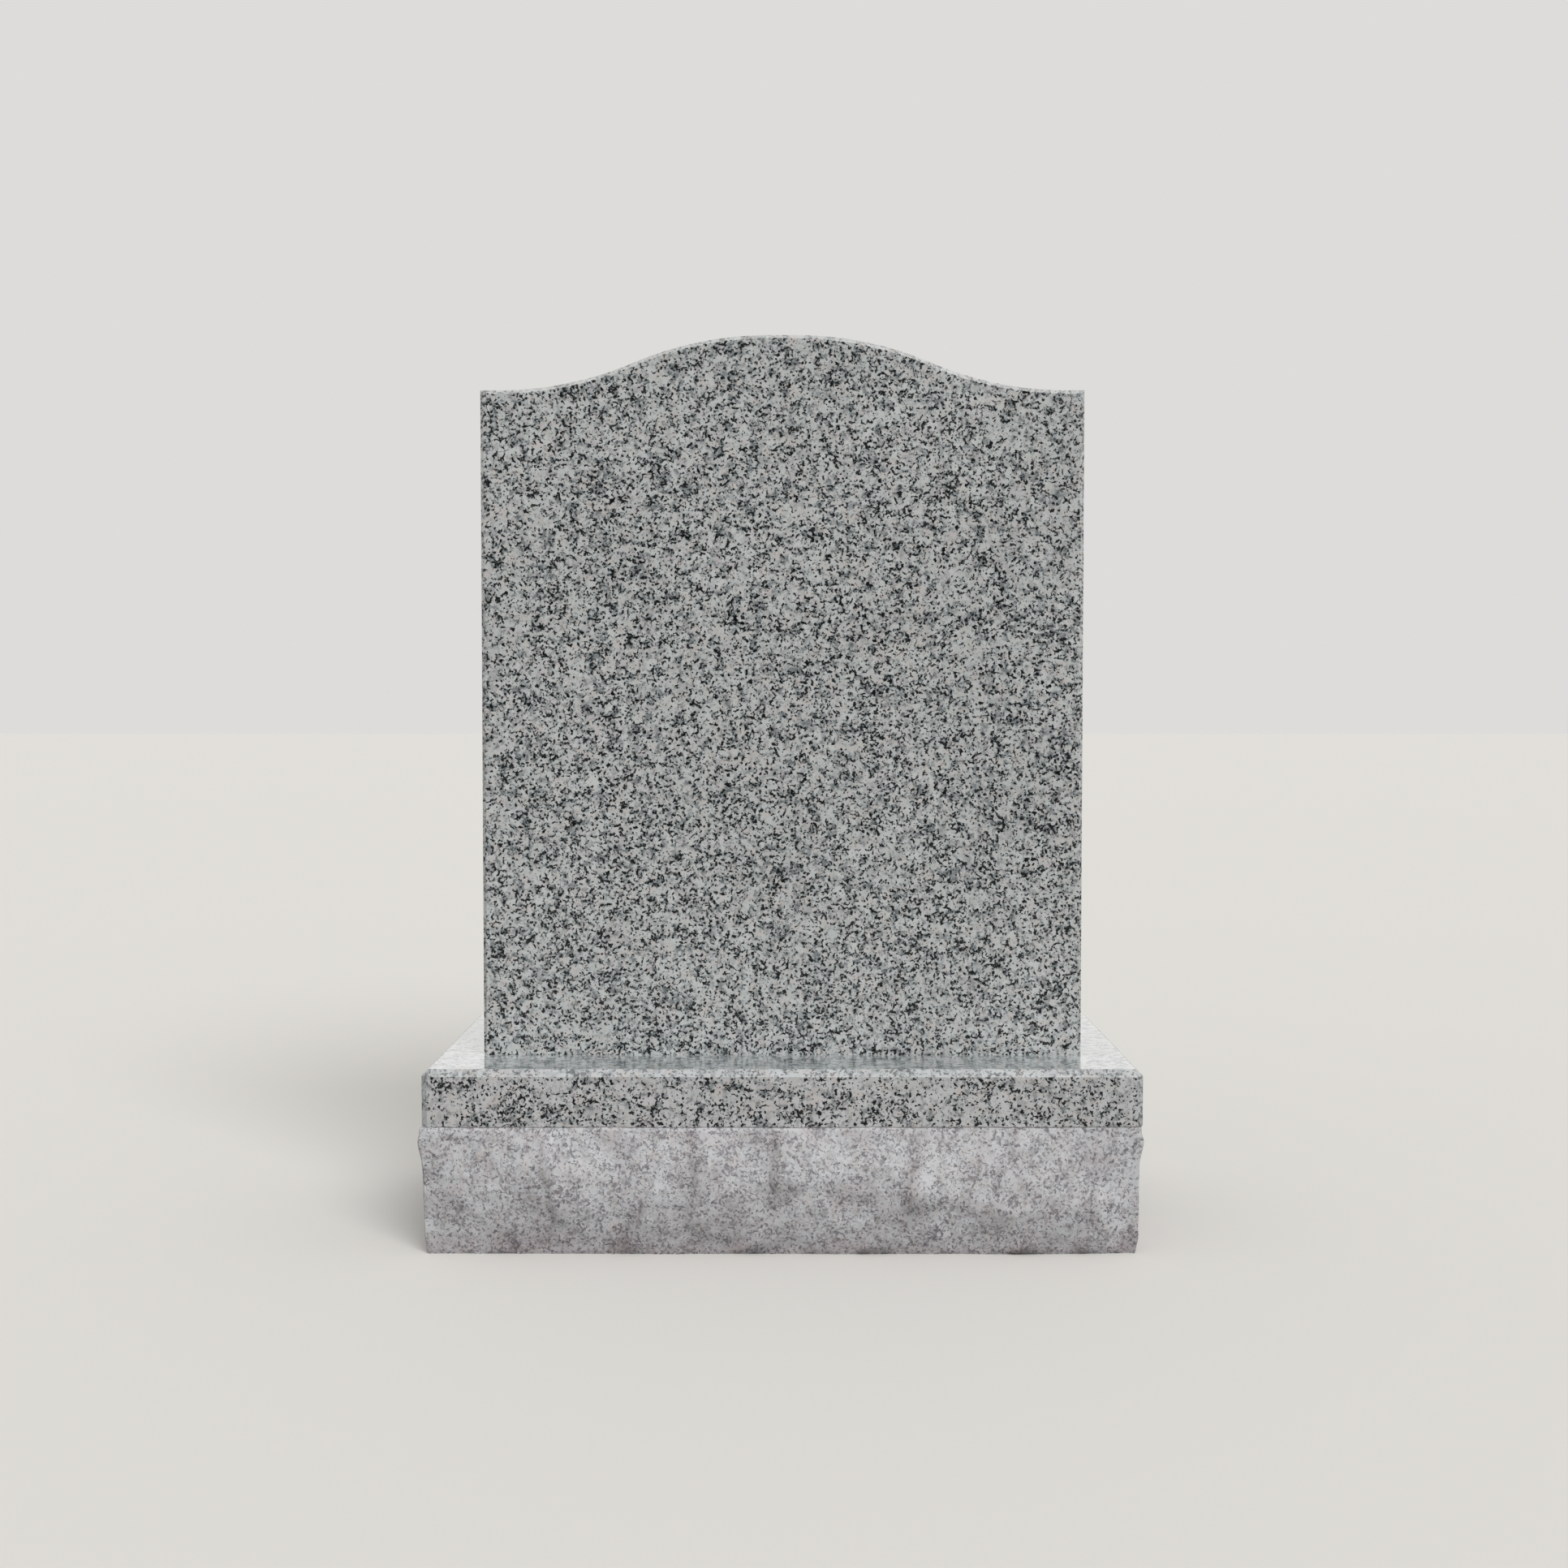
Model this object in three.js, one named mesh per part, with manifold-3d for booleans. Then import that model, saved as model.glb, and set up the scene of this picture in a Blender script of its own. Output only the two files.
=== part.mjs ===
// A granite headstone: a polished upright tablet with a serpentine top, standing on a one-piece base
// whose upper margin is polished and whose sides below it are rock pitched.
// Millimetres, +Z up, the front faces -Y, and the origin is the middle of the base's underside.
import * as THREE from 'three';
import * as BufferGeometryUtils from 'three/addons/utils/BufferGeometryUtils.js';
import Module from 'manifold-3d';

// Base
const baseWidth = 600;
const baseDepth = 300;
const baseHeight = 154;
const baseChamfer = 5.4;          // along the top edges and up the four corners
const polishedMargin = 47;        // from the top down to the pitched line, chamfer included

// Tablet
const tabletWidth = 517;
const tabletThickness = 155;
const tabletCrown = 618.2;        // the height at the middle
const tabletShoulder = 571.3;     // the height at the two ends
const tabletChamfer = 3.2;        // round the front and the back face
const crownFlat = 23;             // the level stretch in the middle of the top
const shoulderFlat = 15.2;        // the level stretch at each end of the top
const seatGap = 0.3;              // the setting joint between the tablet and the base
const arcDivisions = 6;           // half the number of straight steps in each arc of the top

// Rock pitching: chips struck down from the margin and up from the ground meet in a ragged ridge
const ridgeHeight = 57;           // where the two rows of chips meet, above the ground
const upperFlare = 0.195;         // how fast a chip struck from the margin runs outwards
const lowerFlare = 0.165;         // and one struck from the ground
const flareSpread = 0.07;
const chipStart = -0.9;           // how far outside the margin's plane a chip starts
const chipStartSpread = 1.6;
const chipSpacing = 92;
const footChipSpacing = 78;
const chipRib = 3.6;              // how far the rib between two chips stands above their hollows
const ribRun = 40;                // the distance from the chisel's line over which a rib grows
const ribAtLine = 0.3;            // the share of the rib that is there at the line
const chipLean = 0.34;            // how far a rib leans sideways for each millimetre down
const chipWander = 7;             // how far a rib strays from straight
const ribBluntness = 2;
const ridgeBluntness = 5;
const lumpHeight = 1.5;           // the slow swell of the whole face
const lumpLength = 120;
const scarDepth = 2.2;            // smaller hollows inside the chips
const scarLength = 37;
const footRun = 30;               // the height over which the face comes back to its straight foot
const footRagged = 0.45;          // the share of its unevenness that is left at the ground
const cornerRun = 75;             // the length at each end over which the face comes back to the corner

// The fine bruised line that the chisel left under the margin
const bruiseDepth = 0.9;
const bruiseWidth = 1.1;
const bruiseWander = 0.55;

// Places along the front, from its middle, where the chisel was set for each chip
const frontChips = [-252, -137, -37, 54, 150, 222, 279];

// How far each corner of the pitched face stands outside the polished one, under the margin and at the
// ground: front left, front right, back right, back left
const cornerStand = [[2.4, -1.8], [-1.0, -3.6], [1.6, -2.2], [0.4, -2.8]];
const cornerCut = [2.4, 7.5];     // the least and the most that the pitched corners are blunted

// Mesh density of the base
const cellLength = 10;
const rockRows = 12;
const flatTolerance = 0.001;

// A fixed scatter of values between 0 and 1
function chance(seed) {
  const value = Math.sin(seed * 12.9898 + 78.233) * 43758.5453;
  return value - Math.floor(value);
}

function ease(value) {
  const t = THREE.MathUtils.clamp(value, 0, 1);
  return t * t * (3 - 2 * t);
}

// The smaller of two heights, with the edge between them blunted
function bluntMin(a, b, reach) {
  const share = THREE.MathUtils.clamp(0.5 + 0.5 * (b - a) / reach, 0, 1);
  return THREE.MathUtils.lerp(b, a, share) - reach * share * (1 - share);
}

function latticeKey(column, row, seed) {
  return seed + column * 57.31 + row * 131.7;
}

// Smooth wandering values, about -1 to 1, over a lattice of the given size
function swell(along, up, size, seed) {
  const column = Math.floor(along / size);
  const row = Math.floor(up / size);
  const corner = (i, j) => 2 * chance(latticeKey(column + i, row + j, seed)) - 1;
  const across = ease(along / size - column);
  const bottom = THREE.MathUtils.lerp(corner(0, 0), corner(1, 0), across);
  const top = THREE.MathUtils.lerp(corner(0, 1), corner(1, 1), across);
  return THREE.MathUtils.lerp(bottom, top, ease(up / size - row));
}

// Rounded hollows with rims between them: 0 at the middle of a hollow, at most 1 on its rim
function hollows(along, up, size, seed) {
  const column = Math.floor(along / size);
  const row = Math.floor(up / size);
  let nearest = 1;
  for (let i = column - 1; i <= column + 1; i++) {
    for (let j = row - 1; j <= row + 1; j++) {
      const key = latticeKey(i, j, seed);
      const x = (i + 0.15 + 0.7 * chance(key)) * size;
      const y = (j + 0.15 + 0.7 * chance(key + 0.5)) * size;
      nearest = Math.min(nearest, Math.hypot(along - x, up - y) / size);
    }
  }
  return nearest * nearest;
}

// Chip places along a side that has none of its own, at uneven steps
function scatterChips(length, spacing, seed) {
  const count = Math.round(length / spacing) + 1;
  const step = length / (count - 1);
  const places = [];
  for (let i = 0; i < count; i++) {
    places.push(-length / 2 + step * (i + 0.55 * (chance(seed + i) - 0.5)));
  }
  return places;
}

// Sides run round the plan from the front: front, right, back, left
const sides = [
  { length: baseWidth, reach: baseDepth / 2, normal: new THREE.Vector2(0, -1) },
  { length: baseDepth, reach: baseWidth / 2, normal: new THREE.Vector2(1, 0) },
  { length: baseWidth, reach: baseDepth / 2, normal: new THREE.Vector2(0, 1) },
  { length: baseDepth, reach: baseWidth / 2, normal: new THREE.Vector2(-1, 0) },
];
sides.forEach((side, index) => {
  side.seed = 17 * (index + 1);
  side.lattice = 1000 * side.seed;
  side.chips = index === 0 ? frontChips : scatterChips(side.length, chipSpacing, side.seed);
  side.footChips = scatterChips(side.length, footChipSpacing, side.seed + 50);
  side.start = cornerStand[index];
  side.end = cornerStand[(index + 1) % cornerStand.length];
});

// One row of chips: each is a trough that flares away from the line where it was struck
function chipRow(places, along, fromLine, row) {
  const grown = THREE.MathUtils.lerp(ribAtLine, 1, ease(fromLine / ribRun));
  const ribCurve = grown * chipRib / (row.spacing / 2) ** 2;
  const heights = places.map((place, index) => {
    const lean = chipLean * (chance(row.seed + index + 0.3) - 0.5);
    const across = along - place - lean * fromLine;
    const flare = row.flare + flareSpread * (chance(row.seed + index + 0.6) - 0.5);
    const start = row.start + chipStartSpread * chance(row.seed + index + 0.9);
    return start + flare * fromLine + ribCurve * across * across;
  });
  return heights.reduce((height, chip) => bluntMin(height, chip, ribBluntness));
}

// How far the pitched face stands outside the polished margin's plane
function pitchedFace(side, along, up) {
  const marginLine = baseHeight - polishedMargin;
  const down = marginLine - up;
  const around = along + side.lattice;
  const wander = chipWander * swell(around, up, 31, 5);
  const footStart = chipStart + upperFlare * (marginLine - ridgeHeight) - lowerFlare * ridgeHeight;
  const upper = chipRow(side.chips, along + wander, down,
    { start: chipStart, flare: upperFlare, spacing: chipSpacing, seed: side.seed });
  const lower = chipRow(side.footChips, along - wander, up,
    { start: footStart, flare: lowerFlare, spacing: footChipSpacing, seed: side.seed + 80 });
  let height = bluntMin(upper, lower, ridgeBluntness);
  height += lumpHeight * swell(around, up, lumpLength, 9);
  height += scarDepth * (hollows(around + wander, up + wander, scarLength, 3) - 0.3) * ease(down / 14);
  height *= THREE.MathUtils.lerp(footRagged, 1, ease(up / footRun));
  // Towards a corner the face comes back to the corner's own line
  const toStart = side.length / 2 + along;
  const toEnd = side.length / 2 - along;
  const corner = toStart < toEnd ? side.start : side.end;
  const stand = THREE.MathUtils.lerp(corner[1], corner[0], ease(up / marginLine));
  return THREE.MathUtils.lerp(stand, height, ease(Math.min(toStart, toEnd) / cornerRun));
}

// Stations round the plan: each has its side, its place along that side, which end of the side it is,
// the way along the side and the mitred way outwards
function planStations() {
  const stations = [];
  sides.forEach((side, index) => {
    const { normal, reach } = side;
    const tangent = new THREE.Vector2(-normal.y, normal.x);
    const half = side.length / 2 - baseChamfer;
    const cells = Math.round(2 * half / cellLength);
    for (let i = 0; i <= cells; i++) {
      const along = -half + 2 * half * i / cells;
      const end = i === 0 ? -1 : i === cells ? 1 : 0;
      const outward = normal.clone();
      if (end !== 0) {
        const neighbour = sides[(index + end + 4) % 4];
        const cut = normal.clone().add(neighbour.normal).normalize();
        outward.add(cut).divideScalar(1 + normal.dot(cut));
      }
      const place = normal.clone().multiplyScalar(reach).addScaledVector(tangent, along);
      stations.push({ side, along, end, tangent, outward, place });
    }
  });
  return stations;
}

// A station's point, moved outwards and, at a corner, along its side towards the corner
function stationPoint(station, out, up, slide = 0) {
  const point = station.place.clone().addScaledVector(station.outward, out);
  point.addScaledVector(station.tangent, station.end * slide);
  return new THREE.Vector3(point.x, point.y, up);
}

// How far the ends of two neighbouring sides close up at a pitched corner
function cornerSlide(up) {
  const share = 0.5 + 0.5 * swell(0, up, 23, 33);
  return baseChamfer - THREE.MathUtils.lerp(cornerCut[0], cornerCut[1], share);
}

// A closed solid through rings of equal count, listed upwards, with flat fans across both ends
function loftRings(rings) {
  const count = rings[0].length;
  const points = rings.flat();
  const index = [];
  for (let row = 0; row < rings.length - 1; row++) {
    for (let i = 0; i < count; i++) {
      const a = row * count + i;
      const b = row * count + (i + 1) % count;
      const c = b + count;
      const d = a + count;
      // The shorter diagonal follows the ribs and the ridge, and on flat stretches all run one way
      if (points[a].distanceTo(points[c]) < points[b].distanceTo(points[d]) + flatTolerance) {
        index.push(a, b, c, a, c, d);
      } else {
        index.push(a, b, d, b, c, d);
      }
    }
  }
  const last = (rings.length - 1) * count;
  const foot = points.push(new THREE.Vector3(0, 0, rings[0][0].z)) - 1;
  const head = points.push(new THREE.Vector3(0, 0, rings[rings.length - 1][0].z)) - 1;
  for (let i = 0; i < count; i++) {
    const next = (i + 1) % count;
    index.push(foot, next, i, head, last + i, last + next);
  }
  const geometry = new THREE.BufferGeometry().setFromPoints(points);
  geometry.setIndex(index);
  geometry.computeVertexNormals();
  return geometry;
}

function baseGeometry() {
  const stations = planStations();
  const marginLine = baseHeight - polishedMargin;
  const pitchedTop = marginLine - 3 * bruiseWidth;
  const wander = ({ side, along }) => bruiseWander * swell(along + side.lattice, 0, 12, 21);
  const rings = [];
  for (let row = 0; row < rockRows; row++) {
    const up = pitchedTop * row / (rockRows - 1);
    const slide = cornerSlide(up);
    rings.push(stations.map((s) => stationPoint(s, pitchedFace(s.side, s.along, up), up, slide)));
  }
  rings.push(stations.map((s) => stationPoint(s, -bruiseDepth, marginLine - bruiseWidth + wander(s))));
  rings.push(stations.map((s) => stationPoint(s, 0, marginLine + wander(s))));
  rings.push(stations.map((s) => stationPoint(s, 0, baseHeight - baseChamfer)));
  rings.push(stations.map((s) => stationPoint(s, -baseChamfer, baseHeight)));
  return loftRings(rings);
}

// The tablet's face: square foot and sides, and a top of two pairs of equal arcs that run into each
// other, hollow at the shoulders and round at the crown
function tabletOutline(foot) {
  const half = tabletWidth / 2;
  const crownEnd = crownFlat / 2;
  const shoulderEnd = half - shoulderFlat;
  const drop = tabletCrown - tabletShoulder;
  const span = shoulderEnd - crownEnd;
  const turn = 2 * Math.atan(drop / span);
  const radius = span / (2 * Math.sin(turn));
  const quarter = Math.PI / 2;
  const outline = new THREE.Shape();
  outline.moveTo(-half, foot);
  outline.lineTo(half, foot);
  outline.lineTo(half, tabletShoulder);
  outline.absarc(shoulderEnd, tabletShoulder + radius, radius, -quarter, -quarter - turn, true);
  outline.absarc(crownEnd, tabletCrown - radius, radius, quarter - turn, quarter, false);
  outline.absarc(-crownEnd, tabletCrown - radius, radius, quarter, quarter + turn, false);
  outline.absarc(-shoulderEnd, tabletShoulder + radius, radius, turn - quarter, -quarter, true);
  outline.lineTo(-half, tabletShoulder);
  outline.closePath();
  return outline;
}

const wasm = await Module();
wasm.setup();

function toSolid(geometry) {
  const bare = geometry.clone();
  bare.deleteAttribute('normal');
  bare.deleteAttribute('uv');
  const merged = BufferGeometryUtils.mergeVertices(bare);
  return new wasm.Manifold(new wasm.Mesh({
    numProp: 3,
    vertProperties: merged.attributes.position.array,
    triVerts: new Uint32Array(merged.index.array),
  }));
}

function toGeometry(solid) {
  const mesh = solid.getMesh();
  const geometry = new THREE.BufferGeometry();
  geometry.setAttribute('position', new THREE.BufferAttribute(mesh.vertProperties, 3));
  geometry.setIndex(new THREE.BufferAttribute(mesh.triVerts, 1));
  geometry.computeVertexNormals();
  return geometry;
}

// The block is chamfered all round its two faces, then sawn off square below, so its foot has no chamfer
function tabletGeometry() {
  const spare = 4 * tabletChamfer;
  const block = new THREE.ExtrudeGeometry(tabletOutline(-spare), {
    depth: tabletThickness - 2 * tabletChamfer,
    bevelThickness: tabletChamfer,
    bevelSize: tabletChamfer,
    bevelOffset: -tabletChamfer,
    bevelSegments: 1,
    curveSegments: arcDivisions,
  });
  block.rotateX(Math.PI / 2);
  block.translate(0, tabletThickness / 2 - tabletChamfer, 0);
  const saw = new THREE.BoxGeometry(2 * tabletWidth, 2 * tabletThickness, 2 * spare);
  saw.translate(0, 0, -spare);
  return toGeometry(toSolid(block).subtract(toSolid(saw)));
}

const polishedGranite = new THREE.MeshStandardMaterial({
  color: 0x888a89,
  roughness: 0.12,
  metalness: 0,
});
const pitchedGranite = new THREE.MeshStandardMaterial({
  color: 0xa5a4a5,
  roughness: 0.8,
  metalness: 0,
});

const headstone = new THREE.Group();

const base = new THREE.Mesh(baseGeometry(), pitchedGranite);
base.name = 'base';
headstone.add(base);

const tablet = new THREE.Mesh(tabletGeometry(), polishedGranite);
tablet.name = 'tablet';
tablet.position.z = baseHeight + seatGap;
headstone.add(tablet);

export default headstone;
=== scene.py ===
import math
import random
import bmesh
import bpy
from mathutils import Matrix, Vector, noise


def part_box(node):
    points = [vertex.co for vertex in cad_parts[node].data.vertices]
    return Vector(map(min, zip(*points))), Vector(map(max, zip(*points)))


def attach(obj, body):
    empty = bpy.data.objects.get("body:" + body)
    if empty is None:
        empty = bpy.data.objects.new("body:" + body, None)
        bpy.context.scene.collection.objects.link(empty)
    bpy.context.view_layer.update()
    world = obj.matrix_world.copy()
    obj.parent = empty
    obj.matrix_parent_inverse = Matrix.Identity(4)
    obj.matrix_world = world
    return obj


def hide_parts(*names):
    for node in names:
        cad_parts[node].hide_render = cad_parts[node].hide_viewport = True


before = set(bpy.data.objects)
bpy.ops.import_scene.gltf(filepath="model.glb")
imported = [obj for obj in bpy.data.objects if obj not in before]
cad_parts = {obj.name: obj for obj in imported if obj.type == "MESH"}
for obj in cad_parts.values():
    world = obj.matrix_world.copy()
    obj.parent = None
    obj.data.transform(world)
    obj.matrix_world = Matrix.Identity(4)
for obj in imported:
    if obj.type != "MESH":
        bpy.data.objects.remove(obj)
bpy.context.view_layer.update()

mm = 0.001
tiny = 0.02 * mm  # two points nearer than this are the same point
flatAngle = math.radians(0.3)  # faces that meet at less than this are one flat face


# sRGB hex to the linear colour that the shaders take
def linear(hexColour):
    channels = []
    for start in (0, 2, 4):
        value = int(hexColour[start:start + 2], 16) / 255
        channels.append(value / 12.92 if value <= 0.04045 else ((value + 0.055) / 1.055) ** 2.4)
    return (*channels, 1)


# adds a node; links maps an input to a value or to another node's output
def addNode(tree, kind, links=None, stops=None, **settings):
    node = tree.nodes.new("ShaderNode" + kind)
    for name, value in settings.items():
        setattr(node, name, value)
    for name, value in (links or {}).items():
        if isinstance(value, bpy.types.NodeSocket):
            tree.links.new(value, node.inputs[name])
        else:
            node.inputs[name].default_value = value
    for index, (place, colour) in enumerate(stops or []):
        elements = node.color_ramp.elements
        element = elements[index] if index < 2 else elements.new(place)
        element.position = place
        element.color = linear(colour)
    return node


def makeActive(piece):
    bpy.ops.object.select_all(action="DESELECT")
    piece.select_set(True)
    bpy.context.view_layer.objects.active = piece


# in edit mode: selects the verts, edges or faces that pass the test, and nothing else
def pick(piece, kind, test):
    bpy.ops.mesh.select_mode(type={"verts": "VERT", "edges": "EDGE", "faces": "FACE"}[kind])
    bpy.ops.mesh.select_all(action="DESELECT")
    shape = bmesh.from_edit_mesh(piece.data)
    for element in getattr(shape, kind):
        if test(element):
            element.select_set(True)
    shape.select_flush_mode()
    bmesh.update_edit_mesh(piece.data)


# the polisher takes the knife edge off the edges that carry a bevel weight
def roundArrises(piece, width, hardenNormals):
    arris = piece.modifiers.new("arris", "BEVEL")
    arris.width = width
    arris.segments = 2
    arris.limit_method = "WEIGHT"
    arris.harden_normals = hardenNormals
    makeActive(piece)
    bpy.ops.object.modifier_apply(modifier="arris")


def ease(low, high, value):
    share = max(0, min(1, (value - low) / (high - low)))
    return share * share * (3 - 2 * share)


# the camera that took the photograph, worked out from the straight edges of the stone
view = {
    "place": (3.47 * mm, -1768.7 * mm, 456.3 * mm),
    "downTilt": 0.0400,  # radians
    "leftTurn": 0.0012,
    "lens": 45.15,  # this and the sensor in mm
    "sensor": 36,
    "farthest": 60,
}
cameraData = bpy.data.cameras.new("camera")
cameraData.lens = view["lens"]
cameraData.sensor_width = view["sensor"]
cameraData.clip_end = view["farthest"]
camera = bpy.data.objects.new("camera", cameraData)
camera.location = view["place"]
camera.rotation_euler = (math.pi / 2 - view["downTilt"], 0, view["leftTurn"])
bpy.context.scene.collection.objects.link(camera)
bpy.context.scene.camera = camera
print("camera set")


# Materials: all one light grey granite, worked in six ways. A pattern's size is given as the real size
# of its marks, and these are the parts of it that all six have in common.
pattern = {
    "waverShare": 0.9,  # sizes as a share of a flake
    "blotShare": 1.5,
    "depthShare": 1.6,
    "veilShare": 0.8,  # as a share of a grain
    "driftSize": 120 * mm,
    "firstStrokes": 0.31,  # where in the noise each set of strokes is taken from
    "secondStrokes": 1.73,
    # the level of the noise at which each of these starts, and the level at which it is full
    "veilSpread": {"From Min": 0.35, "From Max": 0.65},
    "crowdSpread": {"From Min": 0.25, "From Max": 0.75},
    "depthSpread": {"From Min": 0.35, "From Max": 0.6},
    "driftSpread": {"From Min": 0.3, "From Max": 0.7},
    "sunkSpread": 0.2,  # from its rarity upwards
}


# mica seen edge on: short curved strokes, the level lines of a noise, broken up by a second noise.
# What comes back is over 0 inside a stroke and falls off around it.
def micaStrokes(tree, place, look, shift, crowd):
    moved = addNode(tree, "VectorMath", {0: place, 1: (shift, shift, shift)}).outputs[0]
    line = addNode(tree, "TexNoise", {"Vector": moved, "Scale": 1 / look["strokeBend"], "Detail": 1})
    offLine = addNode(tree, "Math", {0: line.outputs["Fac"], 1: 0.5}, operation="SUBTRACT").outputs[0]
    offLine = addNode(tree, "Math", {0: offLine}, operation="ABSOLUTE").outputs[0]
    breaks = addNode(tree, "TexNoise", {"Vector": moved, "Scale": 1 / look["strokeLength"], "Detail": 1})
    kept = addNode(tree, "Math", {0: breaks.outputs["Fac"], 1: crowd}, operation="ADD").outputs[0]
    width = addNode(tree, "Math", {0: kept, 1: look["strokeRarity"]}, operation="SUBTRACT").outputs[0]
    width = addNode(tree, "Math", {0: width, 1: look["strokeTaper"]}, operation="MULTIPLY").outputs[0]
    width = addNode(tree, "Math", {0: width, 1: look["strokeWidth"]}, operation="MINIMUM").outputs[0]
    return addNode(tree, "Math", {0: width, 1: offLine}, operation="SUBTRACT").outputs[0]


# a mosaic of feldspar and quartz grains, with flakes and strokes of black mica
def makeGranite(look):
    material = bpy.data.materials.new(look["name"])
    material.use_nodes = True
    tree = material.node_tree
    tree.nodes.clear()
    place = addNode(tree, "TexCoord").outputs["Object"]
    grain = look["grain"]
    flake = look["flake"]

    # edges wander instead of running straight
    waver = addNode(tree, "TexNoise", {"Vector": place, "Scale": 1 / (pattern["waverShare"] * flake),
                                        "Detail": 2})
    raggedBy = (look["ragged"],) * 3
    ragged = addNode(tree, "VectorMath", {0: waver.outputs["Color"], 1: raggedBy, 2: place},
                     operation="MULTIPLY_ADD").outputs[0]

    # feldspar and quartz grains, each of one tone, and milky veils across several
    grains = addNode(tree, "TexVoronoi", {"Vector": ragged, "Scale": 1 / grain})
    grainTone = addNode(tree, "SeparateColor", {"Color": grains.outputs["Color"]}).outputs[0]
    ground = addNode(tree, "ValToRGB", {"Fac": grainTone}, stops=look["groundTones"]).outputs[0]
    veil = addNode(tree, "TexNoise", {"Vector": place, "Scale": 1 / (pattern["veilShare"] * grain),
                                      "Detail": 3})
    veilShare = addNode(tree, "MapRange", {"Value": veil.outputs["Fac"], **pattern["veilSpread"],
                                           "To Min": 0, "To Max": look["veil"]}).outputs[0]
    ground = addNode(tree, "Mix", {"Factor": veilShare, "A": ground, "B": linear(look["veilTone"])},
                     data_type="RGBA").outputs["Result"]

    # mica is a little thicker in one place than in another
    crowd = addNode(tree, "TexNoise", {"Vector": place, "Scale": 1 / look["crowdSize"], "Detail": 2})
    crowd = addNode(tree, "MapRange", {"Value": crowd.outputs["Fac"], **pattern["crowdSpread"],
                                       "To Min": -look["crowding"], "To Max": look["crowding"]}).outputs[0]

    # strokes of two sets of crystals, and flakes that lie flat
    strokes = micaStrokes(tree, ragged, look, pattern["firstStrokes"], crowd)
    moreStrokes = micaStrokes(tree, ragged, look, pattern["secondStrokes"], crowd)
    blot = addNode(tree, "TexNoise", {"Vector": ragged, "Scale": 1 / (pattern["blotShare"] * flake),
                                      "Detail": 2})
    blot = addNode(tree, "Math", {0: blot.outputs["Fac"], 1: crowd}, operation="ADD").outputs[0]
    blot = addNode(tree, "Math", {0: blot, 1: look["flakeRarity"]}, operation="SUBTRACT").outputs[0]
    inMica = addNode(tree, "Math", {0: strokes, 1: moreStrokes}, operation="MAXIMUM").outputs[0]
    inMica = addNode(tree, "Math", {0: inMica, 1: blot}, operation="MAXIMUM").outputs[0]
    mica = addNode(tree, "MapRange", {"Value": inMica, "From Min": -look["edgeBlur"],
                                      "From Max": look["edgeBlur"]},
                   interpolation_type="SMOOTHSTEP").outputs[0]

    # mica a little under the surface shows grey through the feldspar, round the strokes and on its own
    halo = addNode(tree, "MapRange", {"Value": inMica, "From Min": -look["haloReach"], "From Max": 0},
                   interpolation_type="SMOOTHSTEP").outputs[0]
    sunk = addNode(tree, "TexNoise", {"Vector": ragged, "Scale": 1 / look["sunkSize"], "Detail": 3,
                                      "Roughness": 0.65})
    sunk = addNode(tree, "Math", {0: sunk.outputs["Fac"], 1: crowd}, operation="ADD").outputs[0]
    sunk = addNode(tree, "MapRange", {"Value": sunk, "From Min": look["sunkRarity"],
                                      "From Max": look["sunkRarity"] + pattern["sunkSpread"]},
                   interpolation_type="SMOOTHSTEP").outputs[0]
    halo = addNode(tree, "Math", {0: halo, 1: look["haloShare"]}, operation="MULTIPLY").outputs[0]
    sunk = addNode(tree, "Math", {0: sunk, 1: look["sunkShare"], 2: halo},
                   operation="MULTIPLY_ADD", use_clamp=True).outputs[0]
    colour = addNode(tree, "Mix", {"Factor": sunk, "A": ground, "B": linear(look["sunkTone"])},
                     data_type="RGBA").outputs["Result"]
    depth = addNode(tree, "TexNoise", {"Vector": place, "Scale": 1 / (pattern["depthShare"] * flake),
                                       "Detail": 1})
    micaShare = addNode(tree, "MapRange", {"Value": depth.outputs["Fac"], **pattern["depthSpread"],
                                           "To Min": look["micaFaint"],
                                           "To Max": look["micaFull"]}).outputs[0]
    micaShare = addNode(tree, "Math", {0: mica, 1: micaShare}, operation="MULTIPLY").outputs[0]
    colour = addNode(tree, "Mix", {"Factor": micaShare, "A": colour, "B": linear(look["micaTone"])},
                     data_type="RGBA").outputs["Result"]

    # slow drift of the whole stone, from darker to lighter patches
    drift = addNode(tree, "TexNoise", {"Vector": place, "Scale": 1 / pattern["driftSize"], "Detail": 2})
    drift = addNode(tree, "MapRange", {"Value": drift.outputs["Fac"], **pattern["driftSpread"],
                                       "To Min": 1 - look["drift"], "To Max": 1 + look["drift"]}).outputs[0]
    colour = addNode(tree, "VectorMath", {0: colour, "Scale": drift}, operation="SCALE").outputs[0]
    # the attribute set on the base darkens the stone: real bruises in patches, painted shade beside the
    # ridges, a painted shadow line along the seam and painted shade towards the foot
    if look["bruiseAndShadeTone"]:
        bruise = addNode(tree, "Attribute", attribute_name="bruise").outputs["Fac"]
        colour = addNode(tree, "Mix", {"Factor": bruise, "A": colour, "B": linear(look["bruiseAndShadeTone"])},
                         data_type="RGBA", blend_type="MULTIPLY").outputs["Result"]

    roughness = addNode(tree, "MapRange", {"Value": mica, "To Min": look["roughness"],
                                           "To Max": look["micaRoughness"]}).outputs[0]

    # relief: crystals standing at odd heights, and pits where mica flakes have lifted
    crystals = addNode(tree, "TexNoise", {"Vector": place, "Scale": 1 / look["reliefSize"], "Detail": 4,
                                          "Roughness": 0.6})
    pits = addNode(tree, "Math", {0: mica, 1: -look["pit"]}, operation="MULTIPLY").outputs[0]
    height = addNode(tree, "Math", {0: crystals.outputs["Fac"], 1: pits}, operation="ADD").outputs[0]
    bump = addNode(tree, "Bump", {"Height": height, "Distance": look["relief"], "Strength": 1})

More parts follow.
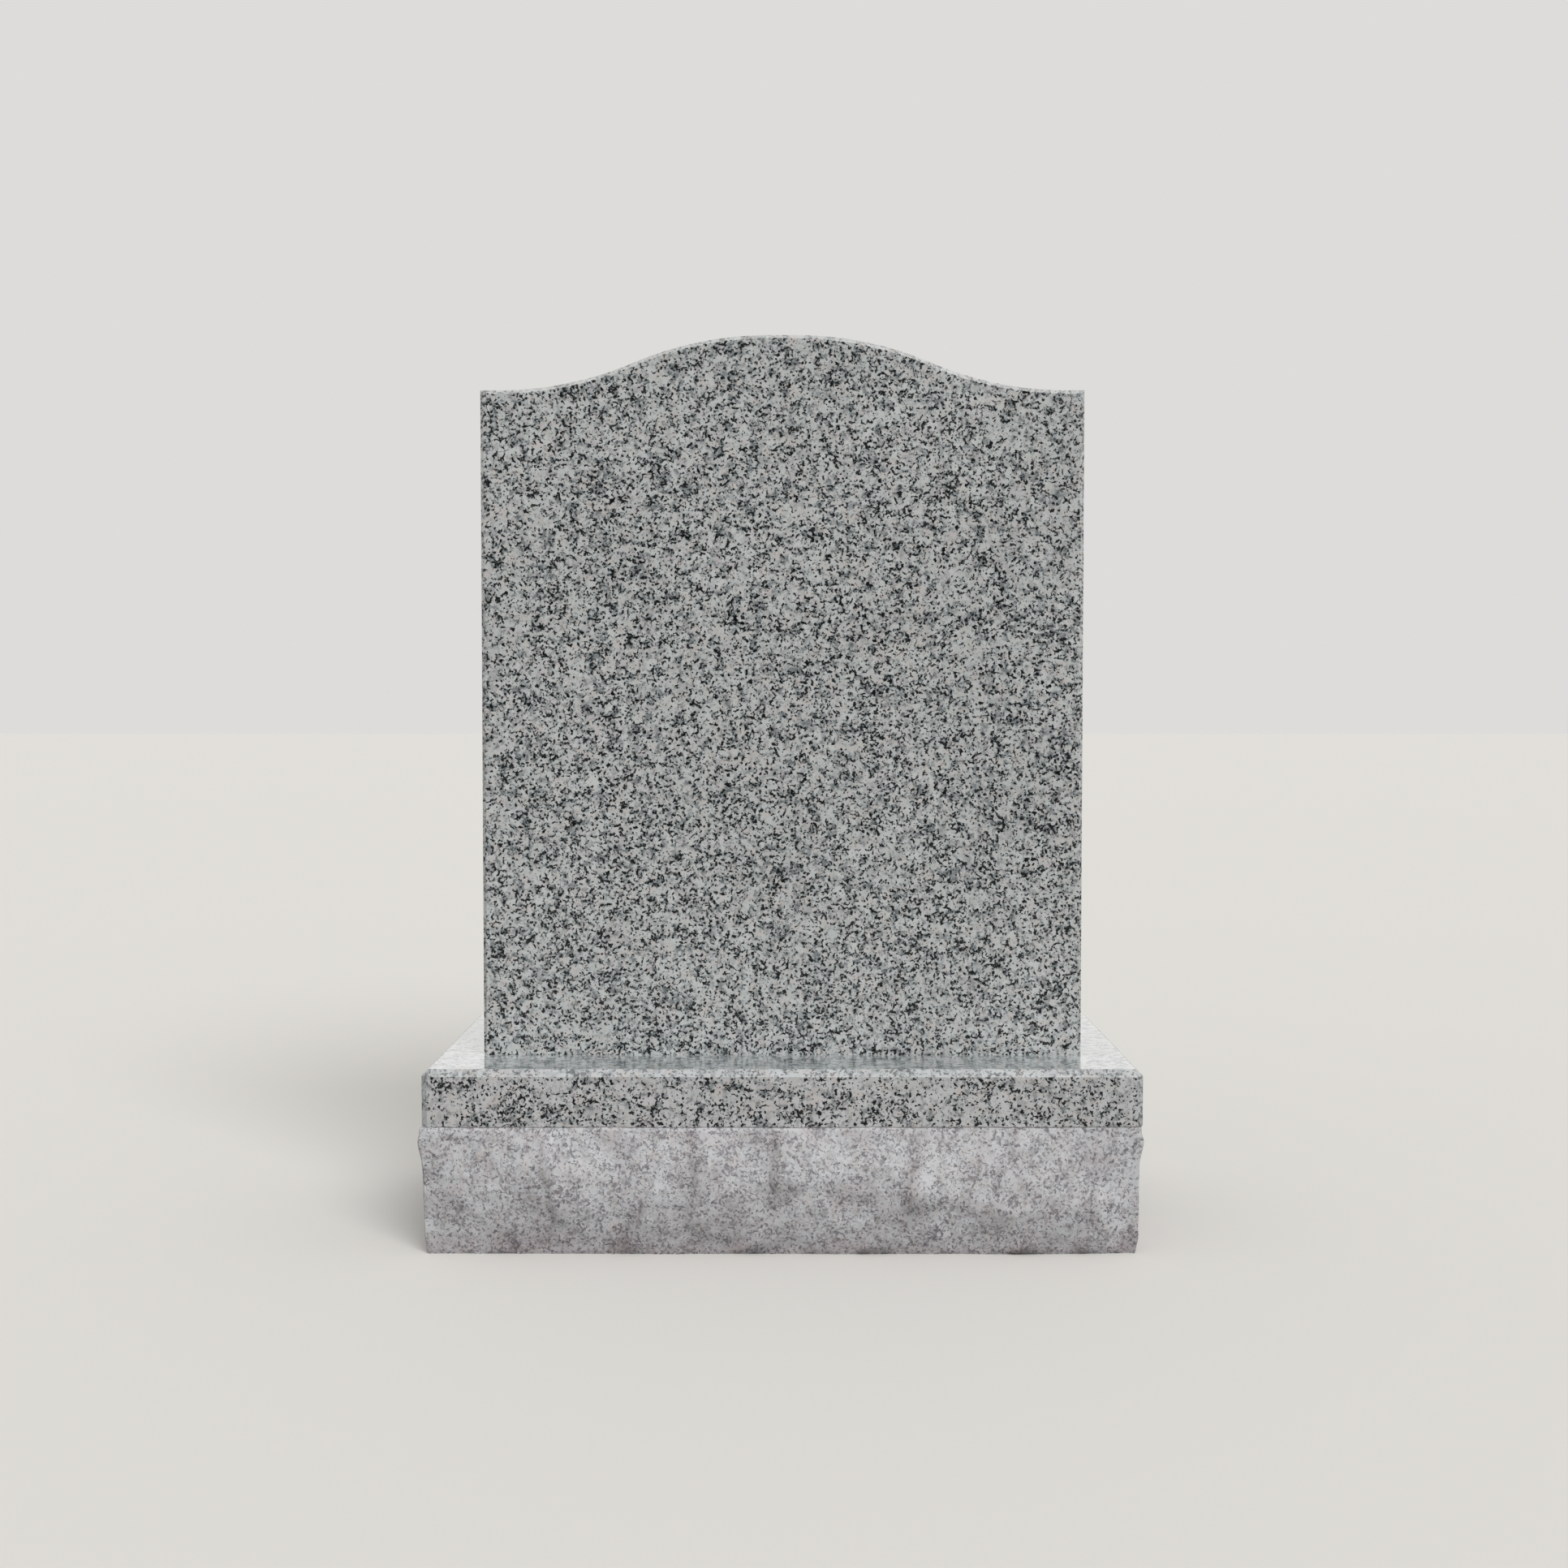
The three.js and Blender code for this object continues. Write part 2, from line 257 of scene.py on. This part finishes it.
    shader = addNode(tree, "BsdfPrincipled", {
        "Base Color": colour, "Roughness": roughness, "Normal": bump.outputs[0], "IOR": look["ior"],
        "Coat Weight": look["coat"], "Coat Roughness": look["coatRoughness"], "Coat IOR": 1.5,
    })
    addNode(tree, "OutputMaterial", {"Surface": shader.outputs[0]})
    return material


# tablet: polished with fine grit and buffed, so the mica looks black and the face takes a dim reflection
polishedTablet = {
    "name": "granite_polished_tablet",
    "grain": 6 * mm, "flake": 2.2 * mm, "ragged": 1.5 * mm,
    "groundTones": [(0, "babebe"), (1, "a1a5a6"), (0.25, "cbcdcc"), (0.5, "b8bdbb"), (0.75, "c6c0bd")],
    "veil": 0.54, "veilTone": "c9cccc",
    "crowdSize": 9 * mm, "crowding": 0.07,
    "strokeLength": 3 * mm, "strokeBend": 5.4 * mm, "strokeWidth": 0.092, "strokeTaper": 0.85,
    "strokeRarity": 0.559,
    "flakeRarity": 0.68, "edgeBlur": 0.014, "micaTone": "06090a", "micaFaint": 0.88, "micaFull": 1,
    "haloReach": 0.08, "haloShare": 0.55,
    "sunkSize": 5 * mm, "sunkRarity": 0.47, "sunkTone": "6a7073", "sunkShare": 0.8,
    "drift": 0.04, "ior": 1.5,
    "roughness": 0.1, "micaRoughness": 0.2, "coat": 0, "coatRoughness": 0.04,
    "reliefSize": 9 * mm, "relief": 0.02 * mm, "pit": 0.4,
    "bruiseAndShadeTone": None,
}
# base: cut from a coarser block, polished the same way
polishedBase = dict(polishedTablet, name="granite_polished_base", grain=8 * mm, flake=2.7 * mm,
                    groundTones=[(0, "bbbcbd"), (1, "a5a7a8"), (0.25, "c8c7c8"), (0.5, "b9bcbb"),
                                 (0.75, "c5bfbc")],
                    veilTone="c6c7c8", crowdSize=13 * mm, crowding=0.08,
                    strokeLength=3.1 * mm, strokeBend=4.9 * mm, strokeWidth=0.08, strokeTaper=0.95,
                    strokeRarity=0.563, flakeRarity=0.7, edgeBlur=0.013, micaFaint=0.95,
                    haloShare=0.45, sunkShare=0.75, sunkSize=5.5 * mm)
# top of the base: polished and sealed, so seen at a low angle it mirrors the tablet and the room; its paler,
# bluer tones and fainter mica are partly a painted reflection of the bright room
polishedTopPaintedReflection = dict(polishedBase, name="granite_polished_base_top", coat=1, coatRoughness=0.15,
                   groundTones=[(0, "c1cacc"), (1, "acb3b6"), (0.25, "cfd6d8"), (0.5, "bfc9ca"),
                                (0.75, "c8caca")],
                   roughness=0.2, micaFaint=0.4, micaFull=0.7, strokeLength=5 * mm, strokeBend=7.5 * mm,
                   strokeTaper=0.85, sunkTone="66757b", sunkShare=0.7, sunkSize=6.5 * mm,
                   relief=0.01 * mm)
# chamfers: ground and only lightly polished, so the mica looks greyer
groundChamfer = dict(polishedBase, name="granite_ground_chamfer", micaFaint=0.35, micaFull=0.55,
                     groundTones=[(0, "bcbfc1"), (1, "aeb1b4"), (0.25, "c6c8ca"), (0.5, "bbc0bf"),
                                  (0.75, "c4c0bf")],
                     veilTone="c6c9cc", sunkShare=0.4, haloShare=0.3, roughness=0.3, micaRoughness=0.35)
groundChamferTablet = dict(polishedTablet, name="granite_ground_chamfer_tablet", micaFaint=0.3,
                           micaFull=0.5, sunkShare=0.3, haloShare=0.2, roughness=0.3, micaRoughness=0.35)
# pitched sides: broken, not cut, so the bruised crystals scatter light and the mica looks soft grey
pitchedBase = dict(polishedBase, name="granite_rock_pitched",
                   groundTones=[(0, "c3c2c3"), (1, "b6b7b8"), (0.25, "cbcccf"), (0.5, "c2c5c8"),
                                (0.75, "c7c3c3")],
                   veilTone="cecfd2", micaTone="757277", micaFaint=0.4, micaFull=0.95,
                   strokeLength=2.5 * mm, strokeBend=4.2 * mm, strokeWidth=0.066, strokeTaper=0.9,
                   strokeRarity=0.552, ragged=1.4 * mm, edgeBlur=0.026, flakeRarity=0.72,
                   sunkTone="8f8b8e", sunkShare=0.55, haloShare=0.35, sunkSize=4.5 * mm,
                   roughness=0.85, micaRoughness=0.6, reliefSize=4 * mm, relief=0.6 * mm, pit=0.1,
                   # the tone multiplied in by that attribute, for real bruises and for painted shade alike
                   bruiseAndShadeTone="d3c9ca")


# Tablet: a sheet in the plane of the front, cut into columns, its top edge raised to the serpentine
# line, drawn back to the full thickness, then chamfered
tabletLow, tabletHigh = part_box("tablet")
tabletLow.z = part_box("base")[1].z  # the setting joint is closed
tablet = {
    "shoulderDrop": 46.9 * mm,
    "crownFlat": 23 * mm,
    "shoulderFlat": 15.2 * mm,
    "chamfer": 3.2 * mm,
    "arris": 0.35 * mm,
    "arrisAngle": 25,  # degrees; edges that are blunter than this are left alone
    "arcSteps": 24,  # faces along each of the four arcs
}
tablet["crownEnd"] = tablet["crownFlat"] / 2
tablet["shoulderEnd"] = tabletHigh.x - tablet["shoulderFlat"]
tablet["span"] = tablet["shoulderEnd"] - tablet["crownEnd"]
tablet["turn"] = 2 * math.atan(tablet["shoulderDrop"] / tablet["span"])
tablet["radius"] = tablet["span"] / (2 * math.sin(tablet["turn"]))


# how far the top lies below the crown: flat, round, hollow, flat
def topDrop(x):
    fromCrown = max(abs(x) - tablet["crownEnd"], 0)
    toShoulder = max(tablet["shoulderEnd"] - abs(x), 0)
    radius = tablet["radius"]
    if fromCrown < toShoulder:
        return radius - math.sqrt(radius ** 2 - fromCrown ** 2)
    return tablet["shoulderDrop"] - radius + math.sqrt(radius ** 2 - toShoulder ** 2)


def buildTablet():
    width = tabletHigh.x - tabletLow.x
    height = tabletHigh.z - tabletLow.z
    bpy.ops.object.select_all(action="DESELECT")
    bpy.ops.mesh.primitive_plane_add(size=1, location=(0, tabletLow.y, tabletLow.z + height / 2),
                                     rotation=(math.pi / 2, 0, 0))
    piece = bpy.context.object
    piece.name = piece.data.name = "tablet_stone"
    piece.scale = (width, height, 1)
    bpy.ops.object.transform_apply(location=True, rotation=True, scale=True)

    bpy.ops.object.mode_set(mode="EDIT")
    columns = []
    for step in range(tablet["arcSteps"] + 1):
        sine = math.sin(tablet["turn"] * step / tablet["arcSteps"]) * tablet["radius"]
        columns += [tablet["crownEnd"] + sine, tablet["shoulderEnd"] - sine]
    for x in sorted(set(round(x, 6) for x in columns)):
        for side in (-1, 1):
            bpy.ops.mesh.select_all(action="SELECT")
            bpy.ops.mesh.bisect(plane_co=(side * x, 0, 0), plane_no=(1, 0, 0))
    bpy.ops.mesh.select_all(action="SELECT")
    bpy.ops.mesh.remove_doubles(threshold=tiny)
    shape = bmesh.from_edit_mesh(piece.data)
    for vert in shape.verts:
        if vert.co.z > tabletLow.z + height / 2:
            vert.co.z = tabletHigh.z - topDrop(vert.co.x)
    bmesh.update_edit_mesh(piece.data)
    bpy.ops.mesh.select_all(action="SELECT")
    bpy.ops.mesh.extrude_region_move(
        TRANSFORM_OT_translate={"value": (0, tabletHigh.y - tabletLow.y, 0)})
    bpy.ops.mesh.select_all(action="SELECT")
    bpy.ops.mesh.normals_make_consistent(inside=False)
    bpy.ops.mesh.dissolve_limited(angle_limit=flatAngle)

    # chamfer both faces all round, but not along the sawn foot
    def onFaceRim(edge):
        a, b = (vert.co for vert in edge.verts)
        front = max(a.y, b.y) < tabletLow.y + tiny
        back = min(a.y, b.y) > tabletHigh.y - tiny
        return (front or back) and max(a.z, b.z) > tabletLow.z + tiny
    pick(piece, "edges", onFaceRim)
    bpy.ops.mesh.bevel(offset=tablet["chamfer"], offset_type="OFFSET", segments=1, affect="EDGES")

    # every arris is rounded but those along the foot
    pick(piece, "edges", lambda edge: edge.calc_face_angle() > math.radians(tablet["arrisAngle"])
         and max(vert.co.z for vert in edge.verts) > tabletLow.z + tiny)
    bpy.ops.transform.edge_bevelweight(value=1)
    pick(piece, "edges", lambda edge: max(vert.co.z for vert in edge.verts) < tabletLow.z + tiny)
    bpy.ops.mesh.mark_sharp()
    bpy.ops.object.mode_set(mode="OBJECT")
    bpy.ops.object.shade_smooth()
    roundArrises(piece, tablet["arris"], True)
    return piece


tabletPiece = buildTablet()
print("tablet", len(tabletPiece.data.polygons), "faces")


# Base: the solid's own form, its pitched sides divided finely and roughened
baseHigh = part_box("base")[1]
base = {
    "width": 600 * mm,  # of the polished top
    "depth": 300 * mm,
    "marginDepth": 47 * mm,
    "arris": 0.4 * mm,
    "cuts": 4,
    "smoothing": 6,
    "quadAngle": 60,  # degrees; two triangles that meet at less than this become a quad
    "crease": 35,  # degrees; a sharper edge between chips stays sharp
    "lineBand": 1 * mm,  # the line under the margin stays within this of level
    "lineWander": 0.5 * mm,  # how far chips eat into the lower edge of the polished margin
    "lineChips": 5 * mm,  # their size
    "groove": 1.1 * mm,  # the groove of the seam under that edge
    "grooveShape": [1, 0.8, 0.6, 0.4, 0.2],  # its depth, row by row downwards
    "groovePatches": (14 * mm, -0.3, 0.4),  # where it is at its deepest
    "grooveLeast": 0.2,  # what is left of it elsewhere
    "seamWidth": 1 * mm,  # of the painted shadow line along the seam
    "seamPaintedShadow": 0.6,  # how dark that painted shadow is
    "seamPatches": (14 * mm, -0.15, 0.2),
    "footBreak": 1.6 * mm,  # how far its chips break the foot back
    "footWorn": 0.6,  # and how far it is worn back between them, as a share of that
    "footChips": 9 * mm,
    "reliefStart": 3.2 * mm,  # how far under the margin the broken relief begins
    "reliefFade": 9 * mm,  # the height over which it comes in there
    "footFade": 6 * mm,  # and over which it dies away at the foot
    # ridges between scars on the front: x and z of the foot, x and z of the head, and how far it stands out
    "frontRidges": [
        (-186 * mm, 40 * mm, -196 * mm, 92 * mm, 3.4 * mm),
        (-72 * mm, 34 * mm, -66 * mm, 104 * mm, 4.2 * mm),
        (-4 * mm, 62 * mm, 2 * mm, 105 * mm, 4.2 * mm),
        (108 * mm, 56 * mm, 114 * mm, 92 * mm, 3.4 * mm),
        (184 * mm, 66 * mm, 196 * mm, 98 * mm, 3 * mm),
        (-128 * mm, 14 * mm, -112 * mm, 44 * mm, 3 * mm),
        (-20 * mm, 14 * mm, 4 * mm, 36 * mm, 4 * mm),
        (68 * mm, 6 * mm, 98 * mm, 48 * mm, 4.8 * mm),
        (198 * mm, 4 * mm, 228 * mm, 34 * mm, 4 * mm),
        (252 * mm, 6 * mm, 262 * mm, 40 * mm, 3.2 * mm),
    ],
    # ridges on the sides that are not seen from the front
    "ridgeSpacing": 58 * mm,
    "ridgeOff": 0.3,  # how far one strays from its place, as a share of the spacing
    "ridgeHeights": [(50 * mm, 100 * mm), (8 * mm, 42 * mm)],  # foot and head of a high one and a low one
    "ridgeLean": (-6 * mm, 24 * mm),
    "ridgeStand": (2.8 * mm, 4.4 * mm),
    # all ridges
    "ridgeRise": 8 * mm,  # width of the steep side
    "ridgeRun": 42 * mm,  # width of the side that dies away
    "ridgeEnd": 24 * mm,
    "ridgeStray": 5 * mm,  # how far a ridge strays from a straight line
    "strayLength": 22 * mm,
    # bruises and painted shade: how dark each kind is, and its size
    "ridgePaintedShade": 0.3,
    "bruiseWidth": 11 * mm,  # of the band of painted shade on the steep side where a ridge starts
    "patchBruise": 0.36,
    "bruisePatches": (30 * mm, -0.05, 0.5),
    # painted shade, darker towards the foot, and the height over which it fades
    "footPaintedShade": 0.6,
    "footPaintedShadeRise": 25 * mm,
    # corners: arrises, broken back below their tops
    "cornerPush": 3.9 * mm,  # brings the blunt corners back to an arris
    "cornerReach": 10 * mm,
    "footPush": 0.35,  # the share of that at the foot, where the arris is worn
    "footPushRise": 18 * mm,
    "cornerHollow": 2.2 * mm,  # how far the arris is broken back
    "hollowTop": (75 * mm, 100 * mm),  # the heights between which that dies away
    "endHollow": 3.2 * mm,  # how much further back the end is just behind it
    "endHollowFoot": (2 * mm, 14 * mm),  # the heights between which that comes in
    "cornerRun": 90 * mm,  # the length over which the sides come back to the corner
    "calmRun": 30 * mm,  # the length over which the ridges and chips grow from it
    "calmShare": 0.4,  # what is left of the chips at the corner
    # broken relief in three sizes: small chips, crumbled edges, single crystals
    "reliefs": [
        ("chips", "VORONOI", 22 * mm, 2 * mm),
        ("crumble", "CLOUDS", 9 * mm, 1.2 * mm),
        ("crystals", "CLOUDS", 3 * mm, 0.5 * mm),
    ],
    "reliefMiddle": 0.4,  # the level of the relief that stays where the surface was
}
base["marginLine"] = baseHigh.z - base["marginDepth"]
base["reliefTop"] = base["marginLine"] - base["reliefStart"]


# 0 to 1 in patches of about this size: the noise has to pass start, and from full on it is 1
def patches(point, size, start, full):
    return ease(start, full, noise.noise(point / size))


# ridges for a side that has none of its own: by turns high on the face and low on it
def scatterRidges(length, seed):
    draw = random.Random(seed)
    ridges = []
    span = length - base["cornerRun"]
    count = round(span / base["ridgeSpacing"])
    for index in range(count):
        off = draw.uniform(-base["ridgeOff"], base["ridgeOff"])
        along = (index + 0.5 + off) * span / count - span / 2
        low, high = base["ridgeHeights"][index % 2]
        lean = draw.uniform(*base["ridgeLean"])
        ridges.append((along, low, along + lean, high, draw.uniform(*base["ridgeStand"])))
    return ridges


# what the ridges do to a point, from its place along the side and its height: how far they push it out,
# and how much painted shade it gets on the steep side where a ridge starts
def ridgeWork(along, z, ridges):
    push = 0
    bruise = 0
    for footAlong, footZ, headAlong, headZ, stand in ridges:
        off = along - footAlong - (headAlong - footAlong) * (z - footZ) / (headZ - footZ)
        reach = ease(footZ - base["ridgeEnd"], footZ, z) * (1 - ease(headZ, headZ + base["ridgeEnd"], z))
        push += stand * reach * ease(-base["ridgeRise"], 0, off) * (1 - ease(0, base["ridgeRun"], off))
        bruise += reach * (1 - ease(0, base["bruiseWidth"], abs(off + base["ridgeRise"] / 2)))
    return push, bruise


# how far a point moves to make its corner an arris, broken back below the top
def cornerWork(point):
    beyondEnd = abs(point.x) - base["width"] / 2
    beyondFace = abs(point.y) - base["depth"] / 2
    aside = abs(beyondEnd - beyondFace)
    push = base["cornerPush"] * max(0, 1 - aside / base["cornerReach"]) ** 2
    push *= base["footPush"] + (1 - base["footPush"]) * ease(0, base["footPushRise"], point.z)
    hollow = base["cornerHollow"] * (1 - ease(0, base["cornerRun"], aside))
    if beyondEnd > beyondFace:
        behind = ease(0, base["cornerReach"], aside)
        behind *= 1 - ease(base["cornerRun"] / 4, base["cornerRun"], aside)
        hollow += base["endHollow"] * behind * ease(*base["endHollowFoot"], point.z)
    hollow *= 1 - ease(*base["hollowTop"], point.z)
    return Vector(((push - hollow) * math.copysign(1, point.x), push * math.copysign(1, point.y), 0))


# the four sides: the way out, the way along it, how far out it is, and its ridges
sides = [(Vector((0, -1, 0)), Vector((1, 0, 0)), base["depth"] / 2, base["frontRidges"])]
for seed, out in ((2, (1, 0, 0)), (3, (0, 1, 0)), (4, (-1, 0, 0))):
    along = Vector((-out[1], out[0], 0))
    reach, length = (base["width"] / 2, base["depth"]) if out[0] else (base["depth"] / 2, base["width"])
    sides.append((Vector(out), along, reach, scatterRidges(length, seed)))


def sideOf(point):
    return max(sides, key=lambda side: point.dot(side[0]) - side[2])


def buildBase():
    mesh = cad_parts["base"].data.copy()
    mesh.materials.clear()
    piece = bpy.data.objects.new("base_stone", mesh)
    mesh.name = "base_stone"
    bpy.context.scene.collection.objects.link(piece)
    makeActive(piece)
    line = base["marginLine"]
    reliefTop = base["reliefTop"]

    bpy.ops.object.mode_set(mode="EDIT")
    bpy.ops.mesh.select_all(action="SELECT")
    bpy.ops.mesh.remove_doubles(threshold=tiny)

    # the flat parts become plain faces, and the pitched sides become rows of quads
    def isLevel(face):
        return abs(face.normal.z) > 0.999
    pick(piece, "faces", lambda face: face.calc_center_median().z > line + base["lineBand"] or isLevel(face))
    bpy.ops.mesh.dissolve_limited(angle_limit=flatAngle)
    pick(piece, "faces", lambda face: face.calc_center_median().z < line and not isLevel(face))
    quadAngle = math.radians(base["quadAngle"])
    bpy.ops.mesh.tris_convert_to_quads(face_threshold=quadAngle, shape_threshold=quadAngle)
    bpy.ops.mesh.subdivide(number_cuts=base["cuts"])

    # take the facets out of the rows, but leave the foot and the line under the margin
    pick(piece, "verts", lambda vert: tiny < vert.co.z < reliefTop)
    bpy.ops.mesh.vertices_smooth(factor=0.5, repeat=base["smoothing"])

    # under the polished margin: a ragged edge, then a grooved seam, worked row by row
    shape = bmesh.from_edit_mesh(piece.data)
    row = [vert for vert in shape.verts if abs(vert.co.z - line) < base["lineBand"]
           and any(face.calc_center_median().z > line + base["lineBand"] for face in vert.link_faces)]
    for edge in shape.edges:
        edge.smooth = not (edge.verts[0] in row and edge.verts[1] in row)
    done = set(row)
    for depth in [0] + base["grooveShape"]:
        for vert in row:
            out = sideOf(vert.co)[0]
            least = base["grooveLeast"]
            strength = least + (1 - least) * patches(vert.co, *base["groovePatches"])
            vert.co -= out * depth * strength * base["groove"]
            vert.co.z += (1 - depth) * base["lineWander"] * noise.noise(vert.co / base["lineChips"])
        below = {edge.other_vert(vert) for vert in row for edge in vert.link_edges}
        row = [vert for vert in below - done if vert.co.z < line]
        done.update(row)
    for vert in shape.verts:
        if vert.co.z < tiny:
            broken = base["footWorn"] + noise.noise(vert.co / base["footChips"])
            vert.co -= sideOf(vert.co)[0] * base["footBreak"] * broken
    bmesh.update_edit_mesh(piece.data)
    bpy.ops.object.mode_set(mode="OBJECT")

    # below the seam: ridges, bruises and painted shade, and corners, and how strong the chips are from place
    # to place
    pitched = piece.vertex_groups.new(name="pitched")
    bruisesAndShade = [0] * len(piece.data.vertices)
    for vert in piece.data.vertices:
        down = (reliefTop - vert.co.z) / base["reliefFade"]
        up = vert.co.z / base["footFade"]
        weight = max(0, min(1, down, up))
        if weight > 0:
            out, way, reach, ridges = sideOf(vert.co)
            toCorner = (base["width"] + base["depth"]) / 2 - reach - abs(vert.co.dot(way))
            inField = ease(0, base["calmRun"], toCorner)
            chips = base["calmShare"] + (1 - base["calmShare"]) * inField
            pitched.add([vert.index], weight * chips, "REPLACE")
            stray = base["ridgeStray"] * noise.noise(vert.co / base["strayLength"])
            push, bruise = ridgeWork(vert.co.dot(way) + stray, vert.co.z, ridges)
            # painted shade on the steep side of each ridge
            bruise *= base["ridgePaintedShade"]
            bruise += base["patchBruise"] * patches(vert.co, *base["bruisePatches"])
            # painted shade, darker towards the ground
            bruise += base["footPaintedShade"] * (1 - ease(0, base["footPaintedShadeRise"], vert.co.z))
            bruisesAndShade[vert.index] = min(1, bruise)
            vert.co += out * push * weight * inField
        if down > 0:
            vert.co += cornerWork(vert.co) * min(1, down)
        elif line - base["seamWidth"] < vert.co.z < line + base["lineBand"] / 2:
            # a painted shadow line along the seam, in patches
            bruisesAndShade[vert.index] = base["seamPaintedShadow"] * patches(vert.co, *base["seamPatches"])
    piece.data.attributes.new("bruise", "FLOAT", "POINT").data.foreach_set("value", bruisesAndShade)

    for name, kind, size, depth in base["reliefs"]:
        texture = bpy.data.textures.new(name, kind)
        texture.noise_scale = size
        if kind == "VORONOI":
            texture.distance_metric = "DISTANCE_SQUARED"
        relief = piece.modifiers.new(name, "DISPLACE")
        relief.texture = texture
        relief.texture_coords = "LOCAL"
        relief.vertex_group = "pitched"
        relief.strength = depth
        relief.mid_level = base["reliefMiddle"]
        bpy.ops.object.modifier_apply(modifier=name)

    # the polished arrises are rounded, and the faces between them stay flat
    bpy.ops.object.mode_set(mode="EDIT")
    polishedFrom = line + 2 * base["lineBand"]
    pick(piece, "edges", lambda edge: min(vert.co.z for vert in edge.verts) > polishedFrom)
    bpy.ops.transform.edge_bevelweight(value=1)
    bpy.ops.object.mode_set(mode="OBJECT")
    roundArrises(piece, base["arris"], False)
    bpy.ops.object.shade_smooth_by_angle(angle=math.radians(base["crease"]), keep_sharp_edges=True)
    flat = piece.modifiers.new("flat", "WEIGHTED_NORMAL")
    flat.weight = 100  # the largest face wins
    flat.keep_sharp = True
    bpy.ops.object.modifier_apply(modifier="flat")
    return piece


basePiece = buildBase()
print("base", len(basePiece.data.polygons), "faces")


# the materials go on by the way each face lies
def dressTablet(piece):
    for look in (polishedTablet, groundChamferTablet):
        piece.data.materials.append(makeGranite(look))
    for face in piece.data.polygons:
        topChamfer = 0.25 < abs(face.normal.y) < 0.9 and face.normal.z > 0.3
        face.material_index = 1 if topChamfer else 0


def dressBase(piece):
    for look in (polishedBase, groundChamfer, pitchedBase, polishedTopPaintedReflection):
        piece.data.materials.append(makeGranite(look))
    for face in piece.data.polygons:
        upright = abs(face.normal.z) < 0.05
        corner = abs(face.normal.x) > 0.2 and abs(face.normal.y) > 0.2
        if face.center.z < base["marginLine"]:
            face.material_index = 2
        elif face.normal.z > 0.99:
            face.material_index = 3
        else:
            face.material_index = 0 if upright and not corner else 1


dressTablet(tabletPiece)
dressBase(basePiece)
print("materials on")


# Floor and light: a pale floor in an even pale room, one broad soft light from above the viewer's right
# shoulder, and a black card behind the camera, seen only in reflections, that keeps the face from
# mirroring the room
studio = {
    "room": "dddcda",
    "roomFill": 0.8,  # the room as a light, beside the room as it looks
    "roomGloss": 1.35,  # the room in reflections
    "floorSize": 60,
    "floorPaint": "e6e4e0",
    "floorRoughness": 0.9,
    "floorBounce": 0.35,  # the floor in reflections and as a light, beside the floor as it looks
    "lightStrength": 1.66,
    "lightAngle": 30,  # degrees across, so every shadow is soft
    "lightPlace": (0.75, -1.62, 1.45),
    "cardSize": (2.2, 1.8),
    "cardPlace": (0, -3.4, 0.75),
    "cardPaint": "0d0d0d",
}


def buildStudio():
    bpy.ops.object.select_all(action="DESELECT")
    bpy.ops.mesh.primitive_plane_add(size=studio["floorSize"], location=(0, 0, 0))
    floor = bpy.context.object
    floor.name = "floor"
    paint = bpy.data.materials.new("matt_floor_paint")
    paint.use_nodes = True
    shader = paint.node_tree.nodes["Principled BSDF"]
    pale = linear(studio["floorPaint"])
    rays = addNode(paint.node_tree, "LightPath")
    share = addNode(paint.node_tree, "MapRange", {"Value": rays.outputs["Is Camera Ray"],
                                                  "To Min": studio["floorBounce"], "To Max": 1}).outputs[0]
    colour = addNode(paint.node_tree, "VectorMath", {0: pale[:3], "Scale": share}, operation="SCALE")
    paint.node_tree.links.new(colour.outputs[0], shader.inputs["Base Color"])
    shader.inputs["Roughness"].default_value = studio["floorRoughness"]
    floor.data.materials.append(paint)

    bpy.ops.mesh.primitive_plane_add(size=1, location=studio["cardPlace"], rotation=(math.pi / 2, 0, 0))
    card = bpy.context.object
    card.name = "black_card"
    card.scale = (*studio["cardSize"], 1)
    black = bpy.data.materials.new("black_card")
    black.use_nodes = True
    shader = black.node_tree.nodes["Principled BSDF"]
    shader.inputs["Base Color"].default_value = linear(studio["cardPaint"])
    card.data.materials.append(black)
    card.visible_camera = card.visible_diffuse = card.visible_shadow = False

    world = bpy.data.worlds.new("studio")
    world.use_nodes = True
    tree = world.node_tree
    background = tree.nodes["Background"]
    background.inputs["Color"].default_value = linear(studio["room"])
    rays = addNode(tree, "LightPath")
    strength = addNode(tree, "MapRange", {"Value": rays.outputs["Is Diffuse Ray"], "To Min": 1,
                                          "To Max": studio["roomFill"]})
    strength = addNode(tree, "Math", {0: rays.outputs["Is Glossy Ray"], 1: studio["roomGloss"] - 1,
                                      2: strength.outputs[0]}, operation="MULTIPLY_ADD")
    tree.links.new(strength.outputs[0], background.inputs["Strength"])
    bpy.context.scene.world = world

    lightData = bpy.data.lights.new("soft_light", "SUN")
    lightData.energy = studio["lightStrength"]
    lightData.angle = math.radians(studio["lightAngle"])
    light = bpy.data.objects.new("soft_light", lightData)
    light.location = studio["lightPlace"]
    light.rotation_euler = Vector(studio["lightPlace"]).to_track_quat("Z", "Y").to_euler()
    bpy.context.scene.collection.objects.link(light)
    bpy.context.scene.view_settings.view_transform = "Standard"


buildStudio()
print("studio set")

for piece, node, slot in ((tabletPiece, "tablet", "polished_granite"), (basePiece, "base", "base_granite")):
    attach(piece, "root")
    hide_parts(node)
